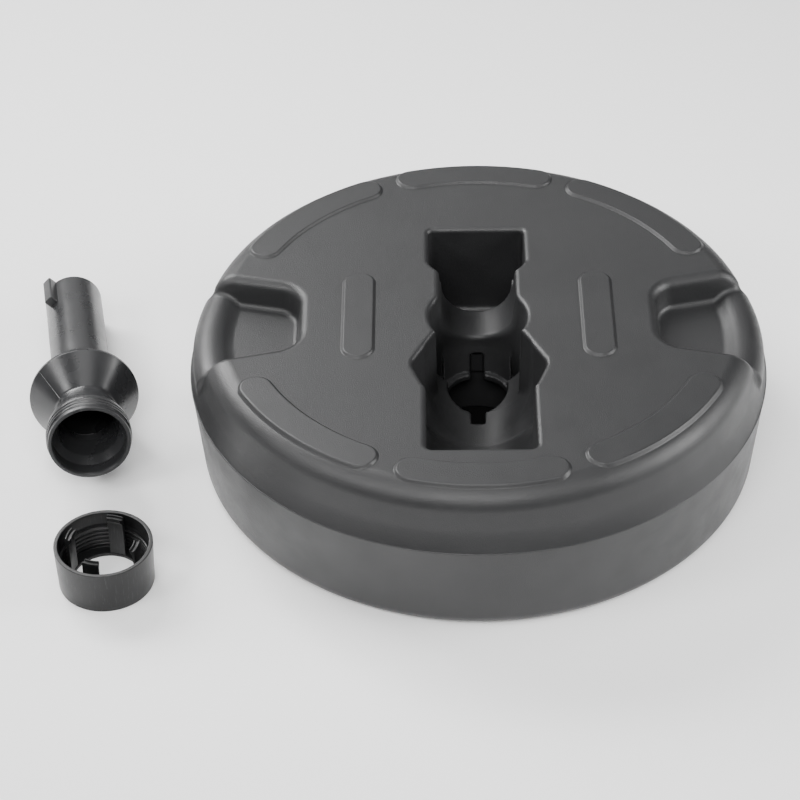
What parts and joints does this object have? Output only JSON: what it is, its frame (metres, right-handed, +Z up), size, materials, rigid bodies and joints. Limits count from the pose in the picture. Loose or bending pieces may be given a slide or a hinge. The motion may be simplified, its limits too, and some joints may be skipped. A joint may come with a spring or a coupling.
{
  "type": "parasol base",
  "caption": "Round hollow parasol base, filled for weight, with a recessed cradle and keyed socket, a loose bayonet pole holder and a screw-on clamp ring with gripping fingers.",
  "frame": {"origin": "on the ground, on the tank's vertical axis, level with its underside", "axes": "+Z up along the tank's axis; +Y towards the back, where the filler is; +X to the right, with the loose pole holder and clamp ring on the left"},
  "size_m": [0.6521, 0.4997, 0.1402],
  "materials": {
    "tank_plastic": "satin, lightly textured blow-moulded polyethylene",
    "gasket_rubber": "smooth rubber",
    "cap_plastic": "satin moulded plastic",
    "holder_plastic": "semi-gloss moulded plastic",
    "ring_plastic": "semi-gloss moulded plastic"
  },
  "bodies": {
    "tank": {"tank": "tank_plastic"},
    "filler_gasket": {"filler_gasket": "gasket_rubber"},
    "filler_cap": {"filler_cap": "cap_plastic"},
    "holder_tube": {"holder_tube": "holder_plastic"},
    "clamp_ring": {"clamp_ring": "ring_plastic"},
    "clamp_finger_1": {"clamp_finger_1": "ring_plastic"},
    "clamp_finger_2": {"clamp_finger_2": "ring_plastic"},
    "clamp_finger_3": {"clamp_finger_3": "ring_plastic"},
    "clamp_finger_4": {"clamp_finger_4": "ring_plastic"}
  },
  "joints": [
    {"name": "cap_out", "type": "slide", "parent": "tank", "child": "filler_gasket", "axis": [0, 1, 0], "range_m": [0, 0.016]},
    {"name": "cap_turn", "type": "hinge", "parent": "filler_gasket", "child": "filler_cap", "pos_m": [0, 0.233, 0.06], "axis": [0, 1, 0], "range_deg": [0, 1440]},
    {"name": "tube_lift", "type": "slide", "parent": "tank", "child": "holder_tube", "axis": [0, 0, 1], "range_m": [0, 0.25]},
    {"name": "ring_lift", "type": "slide", "parent": "tank", "child": "clamp_ring", "axis": [0, 0, 1], "range_m": [0, 0.12]},
    {"name": "finger_1_squeeze", "type": "hinge", "parent": "clamp_ring", "child": "clamp_finger_1", "pos_m": [-0.30671, -0.15193, 0.0034], "axis": [0.9659, -0.2588, 0], "range_deg": [0, 8], "stiffness_Nm_per_rad": 0.4},
    {"name": "finger_2_squeeze", "type": "hinge", "parent": "clamp_ring", "child": "clamp_finger_2", "pos_m": [-0.34357, -0.17321, 0.0034], "axis": [0.2588, 0.9659, 0], "range_deg": [0, 8], "stiffness_Nm_per_rad": 0.4},
    {"name": "finger_3_squeeze", "type": "hinge", "parent": "clamp_ring", "child": "clamp_finger_3", "pos_m": [-0.32229, -0.21007, 0.0034], "axis": [-0.9659, 0.2588, 0], "range_deg": [0, 8], "stiffness_Nm_per_rad": 0.4},
    {"name": "finger_4_squeeze", "type": "hinge", "parent": "clamp_ring", "child": "clamp_finger_4", "pos_m": [-0.28543, -0.18879, 0.0034], "axis": [-0.2588, -0.9659, 0], "range_deg": [0, 8], "stiffness_Nm_per_rad": 0.4}
  ],
  "couplings": [
    {"joint": "cap_out", "follows": "cap_turn", "m_per_rad": 0.00063662},
    {"joint": "finger_2_squeeze", "follows": "finger_1_squeeze", "ratio": 1},
    {"joint": "finger_3_squeeze", "follows": "finger_1_squeeze", "ratio": 1},
    {"joint": "finger_4_squeeze", "follows": "finger_1_squeeze", "ratio": 1}
  ]
}
